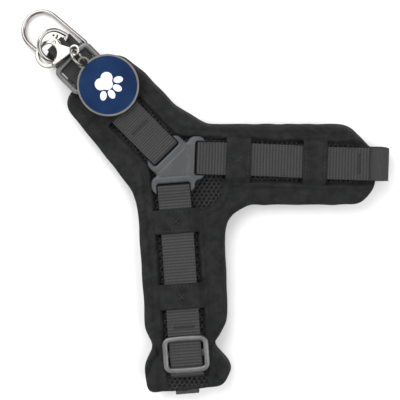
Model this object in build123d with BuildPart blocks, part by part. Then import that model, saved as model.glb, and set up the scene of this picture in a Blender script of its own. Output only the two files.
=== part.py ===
from build123d import *
import os
from math import atan2, cos, degrees, hypot, radians, sin

# No pull dog harness, step-in type, folded flat into a near and a far half.
# Millimetres. The far half lies on the table (Z = 0). X runs along the girth arm and Y
# towards the back arm. The origin is the centre of the far three-slot plate's face.
# Heights called "level" are measured from the fold plane between the two halves.

# ---- driving dimensions ----
stack_height = 9.0  # from the fold plane to the faces of the plates and sliders
near_shift = (-0.8, -1.5)  # the near half lies slightly off the far half
webbing_width = 20.0
webbing_thickness = 1.2
channel_width = 26.0  # the mesh channel that each strap runs in
bar_radius = 1.3
ring_wire = 2.6

# ---- layers of one half ----
lining_bottom = 0.2
lining_top = 1.0
mesh_top = 2.6
foam_top = 3.6
rim_top = 4.7
lower_web = 3.4  # middle of the strap's lower layer
upper_web = 6.5  # middle of the strap's upper layer
bar_level = 5.6  # bars that the straps loop around
loop_radius = bar_level - lower_web
frame_bottom = 7.4  # sliders and keepers pass over the strap here
keeper_top = 8.3

# ---- strap lines: slot centre on the plate, far end ----
back_line = ((-5.9, 6.0), (-74.4, 75.2))
far_back_line = ((-5.9, 6.0), (-68.0, 68.8))
girth_line = ((11.0, 4.2), (128.4, 0.2))
chest_line = ((-2.3, -11.0), (6.6, -130.0))

# ---- pad outline: corners with their radii, counter-clockwise from the back arm ----
pad_corners = [
    (-71.0, 39.1, 9.0),
    (-24.5, -18.5, 35.0),
    (-19.4, -100.0, 12.0),
    (-14.8, -111.0, 3.0),
    (-20.6, -124.0, 14.0),
    (-17.6, -140.0, 4.0),
    (28.0, -135.6, 8.0),
    (34.0, -125.5, 7.0),
    (21.4, -110.5, 4.0),
    (30.0, -98.0, 12.0),
    (28.0, -24.0, 20.0),
    (121.6, -24.0, 16.0),
    (121.6, 6.5, 8.0),
    (104.5, 24.0, 14.0),
    (17.5, 24.0, 9.0),
    (-2.0, 35.5, 20.0),
    (-22.0, 57.0, 25.0),
    (-38.6, 69.2, 9.0),
]

os.makedirs("parts", exist_ok=True)
fold_plane = Plane.XY.offset(stack_height)


def level(height):
    """Horizontal plane at a height above the fold plane."""
    return Plane.XY.offset(stack_height + height)


def write(part, name):
    part.label = name
    export_step(part, f"parts/{name}.step")


def write_near(part, name):
    """Write a piece of the near half, shifted with it."""
    with BuildPart() as near:
        with Locations((*near_shift, 0)):
            add(part)
    write(near.part, name)


def write_pair(part, name):
    """Write a near piece and its mirror image on the far half."""
    write_near(part, f"near_{name}")
    with BuildPart() as far:
        mirror(part, about=fold_plane)
    write(far.part, f"far_{name}")


# ---- frames along a strap ----
def strap_angle(line):
    (x0, y0), (x1, y1) = line
    return atan2(y1 - y0, x1 - x0)


def strap_length(line):
    (x0, y0), (x1, y1) = line
    return hypot(x1 - x0, y1 - y0)


def strap_point(line, along, across=0.0):
    """Plan position at a distance along a strap and to its left."""
    angle = strap_angle(line)
    x = line[0][0] + along * cos(angle) - across * sin(angle)
    y = line[0][1] + along * sin(angle) + across * cos(angle)
    return x, y


def plan_plane(line, along, height):
    """Horizontal plane whose X axis runs along the strap."""
    angle = strap_angle(line)
    origin = (*strap_point(line, along), stack_height + height)
    return Plane(origin, x_dir=(cos(angle), sin(angle), 0), z_dir=(0, 0, 1))


def side_plane(line):
    """Upright plane along the strap's centreline, X along it and Y up."""
    angle = strap_angle(line)
    origin = (*line[0], stack_height)
    return Plane(origin, x_dir=(cos(angle), sin(angle), 0), z_dir=(sin(angle), -cos(angle), 0))


def cross_plane(line, along):
    """Upright plane across the strap, X to its left and Y up."""
    angle = strap_angle(line)
    origin = (*strap_point(line, along), stack_height)
    return Plane(origin, x_dir=(-sin(angle), cos(angle), 0), z_dir=(cos(angle), sin(angle), 0))


# ---- pads ----
def pad_sketch():
    points = [(x, y) for x, y, radius in pad_corners]
    with BuildSketch() as pad:
        with BuildLine():
            FilletPolyline(*points, radius=[radius for x, y, radius in pad_corners], close=True)
        make_face()
    return pad.sketch


channel_start = -8.0  # the channels overlap across the plate's centre
hub_margin = 2.0  # the round field is this much larger than a channel's half width
mesh_reach = {back_line: 72.0, girth_line: 105.0, chest_line: 140.0}
open_reach = {back_line: 120.0, girth_line: 140.0, chest_line: 140.0}


def channel_sketch(reaches, width=channel_width):
    """The three strap channels and the round field where they meet."""
    with BuildSketch() as channels:
        Circle(width / 2 + hub_margin)
        for line, reach in reaches.items():
            start = strap_point(line, channel_start)
            with Locations(Location((*start, 0), (0, 0, degrees(strap_angle(line))))):
                Rectangle(reach, width, align=(Align.MIN, Align.CENTER))
    return channels.sketch


with BuildPart() as lining:
    with BuildSketch(level(lining_bottom)):
        add(pad_sketch())
    extrude(amount=lining_top - lining_bottom)

shell_thickness = 1.4
with BuildPart() as foam_core:
    with BuildSketch(level(lining_top)):
        add(pad_sketch())
        offset(amount=-shell_thickness)
        add(channel_sketch(open_reach, channel_width + 2 * shell_thickness), mode=Mode.SUBTRACT)
    extrude(amount=foam_top - lining_top)

with BuildPart() as padded_rim:
    with BuildSketch(level(lining_top)):
        add(pad_sketch())
        add(channel_sketch(open_reach), mode=Mode.SUBTRACT)
    extrude(amount=rim_top - lining_top)
    with BuildSketch(level(lining_top)):
        add(pad_sketch())
        add(channel_sketch(mesh_reach), mode=Mode.SUBTRACT)
    extrude(amount=mesh_top - lining_top)
    add(foam_core.part, mode=Mode.SUBTRACT)

with BuildPart() as mesh_panel:
    with BuildSketch(level(lining_top)):
        add(channel_sketch(mesh_reach))
        add(pad_sketch(), mode=Mode.INTERSECT)
    extrude(amount=mesh_top - lining_top)

write_pair(lining.part, "lining")
write_pair(foam_core.part, "foam_core")
write_pair(padded_rim.part, "padded_rim")
write_pair(mesh_panel.part, "mesh_panel")

# ---- straps: closed bands that loop around the plate's bar ----
bar_offset = loop_radius + webbing_thickness / 2 + 0.3  # slot edge to bar centre
ramp_length = 8.0
ring_ramp = 4.0
near_slack = 5.6  # the rings' bars lie askew in their loops, which are this much longer
far_slack = 3.0


def webbing_band(line, ring_slack=None):
    """A doubled strap. Its outer end loops loosely around a ring's bar, or closes flat."""
    length = strap_length(line)
    upper_loop = bar_level + loop_radius
    with BuildPart() as band:
        with BuildSketch(side_plane(line)):
            with BuildLine():
                end = length - loop_radius - webbing_thickness / 2
                Line((end, lower_web), (bar_offset, lower_web))
                slot_side = (bar_offset - loop_radius, bar_level)
                ThreePointArc((bar_offset, lower_web), slot_side, (bar_offset, upper_loop))
                Line((bar_offset, upper_loop), (bar_offset + ramp_length, upper_web))
                if ring_slack:
                    slack_end = (end - ring_slack, upper_loop)
                    ramp_end = (end - ring_slack - ring_ramp, upper_web)
                    Line((bar_offset + ramp_length, upper_web), ramp_end)
                    Line(ramp_end, slack_end)
                    Line(slack_end, (end, upper_loop))
                    ring_side = (end + loop_radius, bar_level)
                    ThreePointArc((end, upper_loop), ring_side, (end, lower_web))
                else:
                    Line((bar_offset + ramp_length, upper_web), (end, upper_web))
                    flat_side = (end + (upper_web - lower_web) / 2, (upper_web + lower_web) / 2)
                    ThreePointArc((end, upper_web), flat_side, (end, lower_web))
            make_face()
            offset(amount=webbing_thickness / 2)
            offset(amount=-webbing_thickness, mode=Mode.SUBTRACT)
        extrude(amount=webbing_width / 2, both=True)
    return band.part


# The near back strap narrows to a tongue that fits inside the small ring.
tongue_width = 12.0
tongue_side = 1.0  # the tongue's centre lies this far to the left of the strap's
tongue_length = 10.0
neck_length = 5.0

with BuildPart() as near_back_strap:
    add(webbing_band(back_line, near_slack))
    with BuildSketch(plan_plane(back_line, strap_length(back_line), -stack_height)):
        with BuildLine():
            tongue_left = tongue_side + tongue_width / 2
            tongue_right = tongue_side - tongue_width / 2
            Polyline(
                (1, tongue_left),
                (-tongue_length, tongue_left),
                (-tongue_length - neck_length, webbing_width / 2 + 1),
                (-strap_length(back_line) - 5, webbing_width / 2 + 1),
                (-strap_length(back_line) - 5, -webbing_width / 2 - 1),
                (-tongue_length - neck_length, -webbing_width / 2 - 1),
                (-tongue_length, tongue_right),
                (1, tongue_right),
                close=True,
            )
        make_face()
    extrude(amount=3 * stack_height, mode=Mode.INTERSECT)

with BuildPart() as far_back_strap:
    mirror(webbing_band(far_back_line, far_slack), about=fold_plane)

write_near(near_back_strap.part, "near_back_strap")
write(far_back_strap.part, "far_back_strap")
write_pair(webbing_band(girth_line), "girth_strap")
write_pair(webbing_band(chest_line), "chest_strap")

# ---- three-slot plate ----
plate_bottom = 4.8
horn_reach = 3.2  # the horns pass the bar's centre by this much
slot_width = webbing_width + 0.6
slot_length = 20.0  # cut from the slot's inner edge outwards, past the horns
wing_length = 16.0
wing_width = 26.6
wing_corner = 2.0
plate_edge = 0.9
bar_grip = 1.2  # each end of a bar runs this far into its horn


def plate_sketch(inset):
    """Three overlapping wings, one for each strap."""
    with BuildSketch() as wings:
        for line in (back_line, girth_line, chest_line):
            turn = (0, 0, degrees(strap_angle(line)))
            wing_end = strap_point(line, bar_offset + horn_reach - inset)
            with Locations(Location((*wing_end, 0), turn)):
                length = wing_length - inset
                width = wing_width - 2 * inset
                RectangleRounded(length, width, wing_corner, align=(Align.MAX, Align.CENTER))
    return wings.sketch


with BuildPart() as tri_slot_plate:
    with BuildSketch(level(plate_bottom)):
        add(plate_sketch(0))
    extrude(amount=stack_height - plate_bottom - plate_edge)
    with BuildSketch(level(stack_height - plate_edge)):
        add(plate_sketch(plate_edge))
    extrude(amount=plate_edge)
    for line in (back_line, girth_line, chest_line):
        with BuildSketch(plan_plane(line, 0, plate_bottom)):
            Rectangle(slot_length, slot_width, align=(Align.MIN, Align.CENTER))
        extrude(amount=2 * stack_height, mode=Mode.SUBTRACT)
    for line in (back_line, girth_line, chest_line):
        with BuildSketch(side_plane(line)):
            with Locations((bar_offset, bar_level)):
                Circle(bar_radius)
        extrude(amount=slot_width / 2 + bar_grip, both=True)

write_pair(tri_slot_plate.part, "tri_slot_plate")

# ---- keepers: fabric bands over the straps ----
keeper_foot = 18.0
keeper_arch = 11.6
keeper_foot_thickness = 0.9
keeper_side = 0.6  # how far the arch's outer side leans onto the rim
keeper_wall = 0.7


def keeper_band(line, start, width):
    with BuildPart() as keeper:
        with BuildSketch(cross_plane(line, start)):
            with BuildLine():
                Polyline(
                    (0, keeper_top),
                    (keeper_arch, keeper_top),
                    (channel_width / 2 + keeper_side, rim_top + keeper_foot_thickness),
                    (keeper_foot, rim_top + keeper_foot_thickness),
                    (keeper_foot, rim_top),
                    (channel_width / 2, rim_top),
                    (keeper_arch - keeper_wall, frame_bottom),
                    (0, frame_bottom),
                )
                mirror(about=Plane.YZ)
            make_face()
        extrude(amount=width)
    return keeper.part


keepers = {
    "back_keeper": (back_line, 38.0, 14.0),
    "girth_keeper_inner": (girth_line, 19.0, 15.0),
    "girth_keeper_outer": (girth_line, 66.0, 14.6),
    "chest_keeper_upper": (chest_line, 16.0, 14.7),
    "chest_keeper_lower": (chest_line, 61.6, 15.5),
}
for name, (line, start, width) in keepers.items():
    write_pair(keeper_band(line, start, width), name)

# ---- sliders: a frame over the strap with a dropped middle bar under it ----
slider_length = 21.5
slider_width = 27.5
window_length = 15.3
window_width = 22.3
frame_corner = 3.2
window_corner = 1.6
frame_chamfer = 0.5
rail_bottom = 4.9
middle_bar_length = 4.0
middle_bar_thickness = 0.9
bar_drop = 0.1  # the middle bar's centre above the rails' undersides
bar_overlap = 0.4  # how far the middle bar runs into each rail
near_back_slider_at = 74.0
far_back_slider_at = 65.5
chest_slider_at = 104.6


def strap_slider(line, along):
    rail_width = (slider_width - window_width) / 2
    rail_middle = (slider_width + window_width) / 4
    with BuildPart() as slider:
        with BuildSketch(plan_plane(line, along, frame_bottom)):
            RectangleRounded(slider_length, slider_width, frame_corner)
            RectangleRounded(window_length, window_width, window_corner, mode=Mode.SUBTRACT)
        extrude(amount=stack_height - frame_bottom)
        top = slider.faces().sort_by(Axis.Z)[-1]
        chamfer(top.edges(), frame_chamfer)
        with BuildSketch(plan_plane(line, along, rail_bottom)):
            with Locations((0, rail_middle), (0, -rail_middle)):
                Rectangle(window_length, rail_width)
        extrude(amount=frame_bottom - rail_bottom)
        with BuildSketch(cross_plane(line, along - middle_bar_length / 2)):
            with Locations((0, rail_bottom + bar_drop)):
                Rectangle(window_width + 2 * bar_overlap, middle_bar_thickness)
        extrude(amount=middle_bar_length)
    return slider.part


with BuildPart() as far_back_slider:
    mirror(strap_slider(far_back_line, far_back_slider_at), about=fold_plane)

write_near(strap_slider(back_line, near_back_slider_at), "near_back_slider")
write(far_back_slider.part, "far_back_slider")
write_pair(strap_slider(chest_line, chest_slider_at), "chest_slider")


# ---- D-rings ----
ring_corner = 1.4


def d_ring(plane, half_width, straight):
    """A wire ring: a bar on the plane's Y axis and an arc on its +X side."""
    with BuildPart() as ring:
        with BuildLine(plane) as path:
            Polyline((straight, half_width), (0, half_width), (0, -half_width), (straight, -half_width))
            ThreePointArc((straight, -half_width), (straight + half_width, 0), (straight, half_width))
            corners = path.vertices().filter_by(lambda v: abs(plane.to_local_coords(v.center()).X) < 0.01)
            fillet(corners, ring_corner)
        wire = path.wires()[0]
        with BuildSketch(Plane(wire @ 0, z_dir=wire % 0)):
            Circle(ring_wire / 2)
        sweep(path=wire)
    return ring.part


def tilted_plane(origin, heading, pitch):
    """X points along the heading and rises by the pitch; Y stays horizontal."""
    a = radians(heading)
    p = radians(pitch)
    x_dir = (cos(a) * cos(p), sin(a) * cos(p), sin(p))
    z_dir = (-cos(a) * sin(p), -sin(a) * sin(p), cos(p))
    return Plane(origin, x_dir=x_dir, z_dir=z_dir)


# The bars lie this far in from the loops' ends, and the near one to the tongue's right.
near_bar_inset = 2.5
near_bar_side = -0.5
far_bar_inset = 1.3
far_bar_side = 0.1
end_to_bar = loop_radius + webbing_thickness / 2
near_bar_along = strap_length(back_line) - end_to_bar - near_bar_inset
far_bar_along = strap_length(far_back_line) - end_to_bar - far_bar_inset
near_bar = strap_point(back_line, near_bar_along, tongue_side + near_bar_side)
far_bar = strap_point(far_back_line, far_bar_along, far_bar_side)
small_ring_plane = tilted_plane((*near_bar, stack_height + bar_level), 156.0, 30.0)
large_ring_plane = tilted_plane((*far_bar, stack_height - bar_level), 139.4, -3.0)
write_near(d_ring(small_ring_plane, 9.2, 5.0), "near_small_d_ring")
write(d_ring(large_ring_plane, 11.9, 26.6), "far_large_d_ring")

# ---- lobster clasp, lying on the strap with its hook through the small ring ----
# Drawn from the centre of its eye: X towards the hook's end, Y towards its closed side.
eye = (-61.5, 68.7, stack_height + 14.6)
clasp_plane = tilted_plane(eye, 180.0, -17.0)
shank_thickness = 3.6
hook_thickness = 2.6
eye_thickness = 1.8
eye_radius = 3.5
hole_radius = 2.0
hook_center = (17.2, 1.6)
hook_inner = 6.2
hook_outer = 8.5
gate_thickness = 2.2
gate_clearance = 0.25
gate_from = -15.0  # degrees around the hook: the gate's tip and its root
gate_to = -112.0
nose_from = -38.0  # the hook's nose starts here, before it is cut to clear the gate
nose_to = 20.0
gate_reach = 11.5  # the gate's tip is cut to this radius about its pin
pin_center = (12.6, -5.0)
pin_radius = 0.8
lug_radius = 2.2
spring_radius = 1.35
spring_wire = 0.3


def on_hook(radius, angle):
    a = radians(angle)
    return hook_center[0] + radius * cos(a), hook_center[1] + radius * sin(a)


def hook_sector(inner, outer, start, end):
    """A length of the hook's round, between two angles."""
    middle = (start + end) / 2
    with BuildSketch() as sector:
        with BuildLine():
            Line(on_hook(inner, start), on_hook(outer, start))
            ThreePointArc(on_hook(outer, start), on_hook(outer, middle), on_hook(outer, end))
            Line(on_hook(outer, end), on_hook(inner, end))
            ThreePointArc(on_hook(inner, end), on_hook(inner, middle), on_hook(inner, start))
        make_face()
    return sector.sketch


def shank_sketch():
    """The clasp's flat body between the eye and the hook, with the hole for the gate's pin."""
    with BuildSketch() as shank:
        with BuildLine():
            FilletPolyline(
                (2.2, -1.6),
                (9.0, -4.0),
                (11.4, -8.0),
                (15.0, -6.6),
                (14.0, 9.9),
                (2.2, 2.2),
                radius=[0, 3.0, 1.6, 1.6, 1.6, 0],
                close=True,
            )
        make_face()
        with Locations(hook_center):
            Circle(hook_inner, mode=Mode.SUBTRACT)
        with Locations(pin_center):
            Circle(pin_radius + 0.02, mode=Mode.SUBTRACT)
    return shank.sketch


def nose_clearance():
    """The part of the hook's nose that the gate's tip swings through."""
    with BuildSketch() as clearance:
        add(hook_sector(hook_inner - 1, hook_outer + 1, nose_from - 5, nose_to))
        with Locations(pin_center):
            Circle(gate_reach + gate_clearance, mode=Mode.INTERSECT)
    return clearance.sketch


gate_pocket = gate_thickness / 2 + 0.15
with BuildPart() as clasp_body:
    with BuildSketch(clasp_plane):
        add(shank_sketch())
        with Locations(pin_center):
            Circle(lug_radius + 1.0, mode=Mode.SUBTRACT)
        add(hook_sector(hook_inner - 1, hook_outer + 3, nose_from, gate_to - 6), mode=Mode.SUBTRACT)
    extrude(amount=gate_pocket, both=True)
    with BuildSketch(clasp_plane.offset(gate_pocket), clasp_plane.offset(-shank_thickness / 2)):
        add(shank_sketch())
    extrude(amount=shank_thickness / 2 - gate_pocket)
    with BuildSketch(clasp_plane):
        add(hook_sector(hook_inner, hook_outer, nose_from, 170.0))
        add(nose_clearance(), mode=Mode.SUBTRACT)
    extrude(amount=hook_thickness / 2, both=True)
    with BuildSketch(clasp_plane):
        Circle(eye_radius)
        Circle(hole_radius, mode=Mode.SUBTRACT)
    extrude(amount=eye_thickness / 2, both=True)

with BuildPart() as clasp_gate:
    with BuildSketch(clasp_plane):
        add(hook_sector(hook_inner + 0.1, hook_outer - 0.1, gate_from, gate_to))
        with Locations(pin_center):
            Circle(gate_reach, mode=Mode.INTERSECT)
            Circle(lug_radius)
        with BuildLine():
            FilletPolyline(
                (12.4, -7.0),
                (10.6, -10.2),
                (14.4, -11.2),
                (16.8, -6.6),
                (13.6, -4.6),
                radius=[0, 0.8, 0.8, 0, 0],
                close=True,
            )
        make_face()
        with Locations((13.4, -9.4)):
            Circle(0.55, mode=Mode.SUBTRACT)
        with Locations(pin_center):
            Circle(pin_radius + 0.1, mode=Mode.SUBTRACT)
    extrude(amount=gate_thickness / 2, both=True)
    with BuildSketch(clasp_plane.offset(0.3)):
        with Locations(pin_center):
            Circle(spring_radius + 0.45)
    extrude(amount=gate_thickness, mode=Mode.SUBTRACT)

with BuildPart() as clasp_gate_pin:
    with BuildSketch(clasp_plane):
        with Locations(pin_center):
            Circle(pin_radius)
    extrude(amount=shank_thickness / 2, both=True)

pin_axis_plane = Plane(
    clasp_plane.from_local_coords((*pin_center, 0)), x_dir=clasp_plane.x_dir, z_dir=-clasp_plane.y_dir
)
with BuildPart() as clasp_spring:
    with BuildSketch(pin_axis_plane):
        with Locations((spring_radius, 0.62), (spring_radius, 0.62 + spring_wire)):
            Circle(spring_wire / 2 + 0.01)
    revolve(axis=Axis(pin_axis_plane.origin, clasp_plane.z_dir))

write_near(clasp_body.part, "clasp_body")
write_near(clasp_gate.part, "clasp_gate")
write_near(clasp_gate_pin.part, "clasp_gate_pin")
write_near(clasp_spring.part, "clasp_spring")

# ---- jump ring, standing on edge through the clasp's eye and the tag's hole ----
eyelet = (-56.2, 61.5, stack_height + 13.3)
jump_radius = 5.2
jump_wire = 1.4
jump_lean = 25.0

chord = Vector(*eyelet) - Vector(*eye)
side = chord.cross(Vector(0, 0, 1)).normalized()
upright = side.cross(chord).normalized()
rise = upright * cos(radians(jump_lean)) + side * sin(radians(jump_lean))
sagitta = (jump_radius**2 - (chord.length / 2) ** 2) ** 0.5
jump_center = (Vector(*eye) + Vector(*eyelet)) * 0.5 + rise * sagitta
jump_normal = chord.cross(rise).normalized()

with BuildPart() as jump_ring:
    with BuildSketch(Plane(jump_center, x_dir=chord.normalized(), z_dir=rise)):
        with Locations((jump_radius, 0)):
            Circle(jump_wire / 2)
    revolve(axis=Axis(jump_center, jump_normal))

write_near(jump_ring.part, "jump_ring")

# ---- round tag: metal plate with a raised rim, enamel and a paw print ----
tag_plane = tilted_plane(eyelet, -42.5, -5.4)
tag_center = (19.9, 0)
tag_radius = 18.7
tag_thickness = 1.6
tag_hole_radius = 2.55
tag_lobe_radius = 3.6
tag_neck = (6.0, 4.6)
tag_rim = 1.1
enamel_depth = 0.4
enamel_sink = 0.1  # the enamel's face lies this far below the rim

with BuildPart() as tag_plate:
    with BuildSketch(tag_plane.offset(-tag_thickness / 2)):
        Circle(tag_lobe_radius)
        Rectangle(*tag_neck, align=(Align.MIN, Align.CENTER))
        with Locations(tag_center):
            Circle(tag_radius)
        Circle(tag_hole_radius, mode=Mode.SUBTRACT)
    extrude(amount=tag_thickness)
    with BuildSketch(tag_plane.offset(tag_thickness / 2 - enamel_depth)):
        with Locations(tag_center):
            Circle(tag_radius - tag_rim)
    extrude(amount=tag_thickness, mode=Mode.SUBTRACT)

paw_toes = 4
paw_spread = 36.0  # degrees between toes
paw_reach = 8.2
paw_pad = 3.6  # radius of the three rounds that make up the large pad
toe_size = (2.9, 2.0)


def paw_sketch():
    """A paw print of one large pad and four toes, toes away from the tag's hole."""
    with BuildSketch() as paw:
        front = tag_center[0] - 1.0
        back = tag_center[0] - 3.6
        with Locations((front, 0), (back, 2.6), (back, -2.6)):
            Circle(paw_pad)
        for toe in range(paw_toes):
            turn = paw_spread * (toe - (paw_toes - 1) / 2)
            x = tag_center[0] - 2.6 + paw_reach * cos(radians(turn))
            y = paw_reach * sin(radians(turn))
            with Locations(Location((x, y, 0), (0, 0, turn))):
                Ellipse(*toe_size)
    return paw.sketch


with BuildPart() as tag_enamel:
    with BuildSketch(tag_plane.offset(tag_thickness / 2 - enamel_depth)):
        with Locations(tag_center):
            Circle(tag_radius - tag_rim)
        add(paw_sketch(), mode=Mode.SUBTRACT)
    extrude(amount=enamel_depth - enamel_sink)

with BuildPart() as tag_paw_print:
    with BuildSketch(tag_plane.offset(tag_thickness / 2 - enamel_depth)):
        add(paw_sketch())
    extrude(amount=enamel_depth)

write_near(tag_plate.part, "tag_plate")
write_near(tag_enamel.part, "tag_enamel")
write_near(tag_paw_print.part, "tag_paw_print")
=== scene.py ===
from math import atan2, cos, hypot, pi, radians, sin

import bmesh
import bpy
import numpy as np
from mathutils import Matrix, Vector


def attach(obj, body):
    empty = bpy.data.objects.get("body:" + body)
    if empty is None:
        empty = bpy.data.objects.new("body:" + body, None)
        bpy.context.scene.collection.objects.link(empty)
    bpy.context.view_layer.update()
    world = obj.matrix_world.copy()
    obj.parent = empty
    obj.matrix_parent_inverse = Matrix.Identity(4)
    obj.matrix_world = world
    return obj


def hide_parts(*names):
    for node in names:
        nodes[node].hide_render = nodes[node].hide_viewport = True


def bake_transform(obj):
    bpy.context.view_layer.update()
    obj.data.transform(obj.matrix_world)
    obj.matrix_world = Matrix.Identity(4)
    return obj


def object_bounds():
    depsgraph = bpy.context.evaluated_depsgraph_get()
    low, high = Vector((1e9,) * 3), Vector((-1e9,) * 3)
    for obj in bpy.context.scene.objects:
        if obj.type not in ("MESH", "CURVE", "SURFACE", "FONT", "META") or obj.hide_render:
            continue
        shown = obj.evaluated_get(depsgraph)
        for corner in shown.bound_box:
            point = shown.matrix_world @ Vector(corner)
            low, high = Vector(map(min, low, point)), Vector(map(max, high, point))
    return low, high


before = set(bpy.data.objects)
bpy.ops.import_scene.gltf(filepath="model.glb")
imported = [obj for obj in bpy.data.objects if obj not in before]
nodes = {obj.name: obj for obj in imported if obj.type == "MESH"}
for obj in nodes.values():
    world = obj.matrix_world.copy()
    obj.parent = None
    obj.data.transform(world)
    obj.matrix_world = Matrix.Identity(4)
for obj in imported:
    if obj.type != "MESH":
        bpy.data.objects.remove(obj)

cad_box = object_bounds()

# The harness is drawn in millimetres, in plan (x, y) with a height above the fold plane,
# and placed twice: as the near half, shifted with it, and mirrored as the far half.
MM = 0.001
fold_height = 9.0
near_shift = (-0.8, -1.5)

# ---- sizes shared with the CAD model ----
back_line = ((-5.9, 6.0), (-74.4, 75.2))
far_back_line = ((-5.9, 6.0), (-68.0, 68.8))
girth_line = ((11.0, 4.2), (128.4, 0.2))
chest_line = ((-2.3, -11.0), (6.6, -130.0))
strap_lines = (back_line, girth_line, chest_line)
channel_half = 11.7
channel_start = -8.0
channel_blend = 3.0
junction_radius = 15.0
corner_patch = (15.0, -13.5)  # the mesh also fills the corner between girth and chest arms
corner_radius = 12.5
mesh_ends = {back_line: 64.0, girth_line: 97.0, chest_line: 140.0}
mesh_top = 2.6
rim_top = 4.7
webbing_width = 20.0
webbing_thickness = 1.2
rib_pitch = 1.85
fine_rib_pitch = 1.55
lower_web = 3.4
upper_web = 6.5
bar_level = 5.6
bar_radius = 1.3
loop_radius = bar_level - lower_web
bar_offset = loop_radius + webbing_thickness / 2 + 0.3
plate_bottom = 4.8
plate_top = 9.0
frame_bottom = 7.4
slot_half = 10.3
wing_half = 13.3
wing_end = bar_offset + 3.2
ring_slack = {"near": 5.6, "far": 3.0}  # extra length of the back straps' loops round the rings
sliders = {
    "near_back_slider": ("near", back_line, 74.0),
    "near_chest_slider": ("near", chest_line, 104.6),
    "far_back_slider": ("far", far_back_line, 65.5),
    "far_chest_slider": ("far", chest_line, 104.6),
}
keepers = {
    "back_keeper": (back_line, 38.0, 14.0),
    "girth_keeper_inner": (girth_line, 19.0, 15.0),
    "girth_keeper_outer": (girth_line, 66.0, 14.6),
    "chest_keeper_upper": (chest_line, 16.0, 14.7),
    "chest_keeper_lower": (chest_line, 61.6, 15.5),
}


# ---- plan geometry ----
def strap_angle(line):
    (x0, y0), (x1, y1) = line
    return atan2(y1 - y0, x1 - x0)


def strap_length(line):
    (x0, y0), (x1, y1) = line
    return hypot(x1 - x0, y1 - y0)


def to_strap(line, x, y):
    """Distance along a strap from its slot, and distance to its left."""
    angle = strap_angle(line)
    dx = x - line[0][0]
    dy = y - line[0][1]
    return dx * cos(angle) + dy * sin(angle), dy * cos(angle) - dx * sin(angle)


def from_strap(line, along, across):
    angle = strap_angle(line)
    x = line[0][0] + along * cos(angle) - across * sin(angle)
    y = line[0][1] + along * sin(angle) + across * cos(angle)
    return x, y


def smooth_step(low, high, value):
    t = np.clip((value - low) / (high - low), 0, 1)
    return t * t * (3 - 2 * t)


def smooth_union(a, b, reach):
    """Union of two distance fields, negative inside, with a rounded valley."""
    mix = np.clip(0.5 + 0.5 * (b - a) / reach, 0, 1)
    return b * (1 - mix) + a * mix - reach * mix * (1 - mix)


def channel_distance(x, y):
    """Distance from the strap channels, negative inside them."""
    field = np.hypot(x, y) - junction_radius
    for line in strap_lines:
        along, across = to_strap(line, x, y)
        strip = np.maximum(np.abs(across) - channel_half, channel_start - along)
        field = smooth_union(field, strip, channel_blend)
    patch = np.hypot(x - corner_patch[0], y - corner_patch[1]) - corner_radius
    return smooth_union(field, patch, channel_blend)


def rounded_box(along, across, start, end, half, radius):
    """Distance from a rounded rectangle along a strap, negative inside."""
    dx = np.abs(along - (start + end) / 2) - ((end - start) / 2 - radius)
    dy = np.abs(across) - (half - radius)
    outside = np.hypot(np.maximum(dx, 0), np.maximum(dy, 0))
    return outside + np.minimum(np.maximum(dx, dy), 0) - radius


def ripple(x, y, scale, seed):
    """Gentle unevenness of cloth: a few sine waves in different directions, about -1 to 1."""
    waves = np.random.default_rng(seed)
    total = np.zeros_like(x)
    for _ in range(6):
        angle = waves.uniform(0, 2 * pi)
        pitch = scale * waves.uniform(0.7, 1.6)
        phase = waves.uniform(0, 2 * pi)
        total += np.sin(2 * pi * (x * cos(angle) + y * sin(angle)) / pitch + phase)
    return total / 3


def outline_of(node):
    """The plan outline of a CAD node's top face, in near-half plan millimetres, in order."""
    mesh = nodes[node].data
    co = np.array([v.co for v in mesh.vertices]) / MM
    top = co[:, 2].max()
    edges = []
    for polygon in mesh.polygons:
        corners = [tuple(np.round(co[i], 3)) for i in polygon.vertices]
        if min(c[2] for c in corners) < top - 0.02:
            continue
        edges += [(a[:2], b[:2]) for a, b in zip(corners, corners[1:] + corners[:1])]
    shared = set(edges)
    following = {a: b for a, b in edges if (b, a) not in shared}
    first = next(iter(following))
    loop = [first]
    while following[loop[-1]] != first:
        loop.append(following[loop[-1]])
    return np.array(loop) - np.array(near_shift)


def polygon_distance(x, y, loop):
    """Distance from a polygon's edge, positive inside."""
    shape = x.shape
    p = np.stack([x.ravel(), y.ravel()], axis=1)
    best = np.full(len(p), 1e9)
    inside = np.zeros(len(p), bool)
    for a, b in zip(loop, np.roll(loop, -1, axis=0)):
        edge = b - a
        t = np.clip(((p - a) @ edge) / (edge @ edge), 0, 1)
        best = np.minimum(best, np.hypot(*(p - a - t[:, None] * edge).T))
        if a[1] != b[1]:
            crosses = (a[1] > p[:, 1]) != (b[1] > p[:, 1])
            inside ^= crosses & (p[:, 0] < a[0] + (p[:, 1] - a[1]) * edge[0] / edge[1])
    return np.where(inside, best, -best).reshape(shape)


# ---- mesh helpers ----
def resample(path, step):
    """Evenly spaced points on a closed polyline, and the length at each."""
    path = np.vstack([path, path[:1]])
    seg = np.hypot(*np.diff(path, axis=0).T)
    length = np.concatenate([[0], np.cumsum(seg)])
    count = int(round(length[-1] / step))
    at = np.arange(count) * length[-1] / count
    return np.stack([np.interp(at, length, path[:, k]) for k in range(2)], axis=1), at


def arc(center, radius, start, end, steps=14):
    turns = np.radians(np.linspace(start, end, steps))
    return np.stack([center[0] + radius * np.cos(turns), center[1] + radius * np.sin(turns)], axis=1)


class Shape:
    """Vertices in plan millimetres with heights above the fold plane, and faces."""

    def __init__(self):
        self.points = np.zeros((0, 3))
        self.faces = []
        self.uvs = np.zeros((0, 2))

    def add(self, points, faces):
        first = len(self.points)
        points = np.asarray(points, float)
        self.points = np.vstack([self.points, points])
        self.uvs = np.vstack([self.uvs, points[:, :2]])
        self.faces += [[first + i for i in face] for face in faces]
        return self

    def join(self, other):
        return self.add(other.points, other.faces)


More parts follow.
